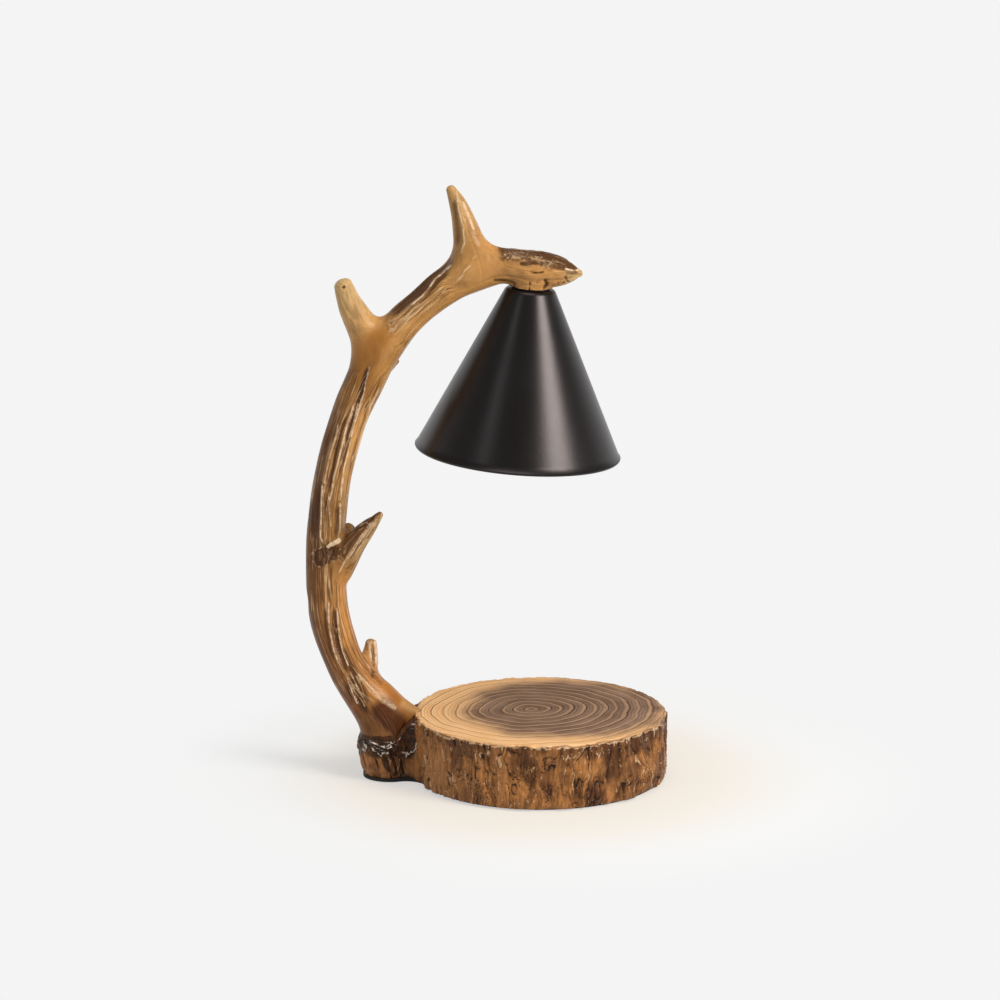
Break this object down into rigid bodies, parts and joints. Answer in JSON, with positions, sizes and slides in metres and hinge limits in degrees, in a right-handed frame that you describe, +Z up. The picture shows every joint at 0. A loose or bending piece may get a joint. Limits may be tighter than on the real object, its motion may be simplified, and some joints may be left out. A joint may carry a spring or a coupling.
{
  "type": "candle warmer lamp",
  "caption": "Candle warmer lamp: resin wood-slice base, antler-shaped arm and a tilted conical shade over the place for a candle.",
  "frame": {"origin": "centre of the wood slice on the underside of its foam pad, where the lamp rests", "axes": "+Z up, +X from the arm's foot towards the free side of the slice, +Y away from the viewer, towards the cord inlet"},
  "size_m": [0.1998, 0.1393, 0.3359],
  "materials": {
    "bark_resin": "satin",
    "antler_resin": "satin",
    "shade_paint": "satin",
    "black_plastic": "matte",
    "pad_foam": "matte",
    "black_rubber": "matte",
    "zinc_steel": "satin",
    "pin_steel": "satin",
    "brass": "satin",
    "white_nylon": "matte",
    "lead_brown": "satin",
    "lead_blue": "satin",
    "holder_ceramic": "matte",
    "reflector_glass": "gloss",
    "lens_glass": "gloss",
    "filament": "satin"
  },
  "bodies": {
    "root": {"base_slice": "bark_resin", "base_cover": "black_plastic", "base_pad": "pad_foam", "cover_screws": "zinc_steel", "cable_gland": "black_rubber", "cord_clamp": "black_plastic", "clamp_screws": "zinc_steel", "terminal_block": "white_nylon", "terminal_tubes": "brass", "terminal_screws": "zinc_steel", "block_screw": "zinc_steel", "antler_arm": "antler_resin", "conduit_tube": "zinc_steel", "arm_washer": "zinc_steel", "arm_nut": "zinc_steel", "lead_live": "lead_brown", "lead_neutral": "lead_blue", "brass_insert": "brass", "nipple": "zinc_steel", "shade_gasket": "black_rubber", "shade": "shade_paint", "tooth_washer": "zinc_steel", "shade_nut": "zinc_steel", "holder_bracket": "zinc_steel", "bracket_nut": "zinc_steel", "lamp_holder": "holder_ceramic", "holder_contacts": "brass", "holder_screws": "zinc_steel"},
    "bulb": {"bulb_base": "holder_ceramic", "bulb_pins": "pin_steel", "bulb_reflector": "reflector_glass", "bulb_lens": "lens_glass", "bulb_capsule": "lens_glass", "bulb_filament": "filament"}
  },
  "joints": [
    {"name": "bulb_twist", "type": "hinge", "parent": "root", "child": "bulb", "pos_m": [-0.0057, 0, 0.2782], "axis": [-0.0755, 0, -0.9971], "range_deg": [0, 45]}
  ]
}
